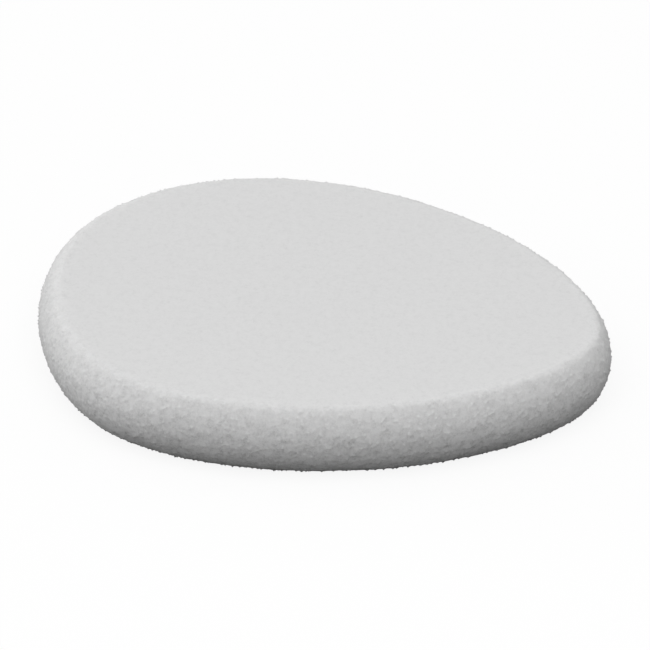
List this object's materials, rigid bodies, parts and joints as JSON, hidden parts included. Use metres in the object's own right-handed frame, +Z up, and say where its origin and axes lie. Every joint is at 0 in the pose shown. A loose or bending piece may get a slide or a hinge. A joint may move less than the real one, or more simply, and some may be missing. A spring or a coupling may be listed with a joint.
{
  "type": "oval makeup sponge",
  "caption": "Flat egg-shaped pad of fine pale foam with smooth flat faces and a bulging rim, held in the fingers to spread and blend makeup.",
  "frame": {"origin": "on the lower flat face, under the middle of the pad's length and width", "axes": "+X along the length towards the narrow end, +Y across the width, +Z up through the thickness"},
  "size_m": [0.078, 0.06, 0.01],
  "materials": {
    "foam": "matte"
  },
  "bodies": {
    "root": {"foam_pad": "foam"}
  },
  "joints": []
}
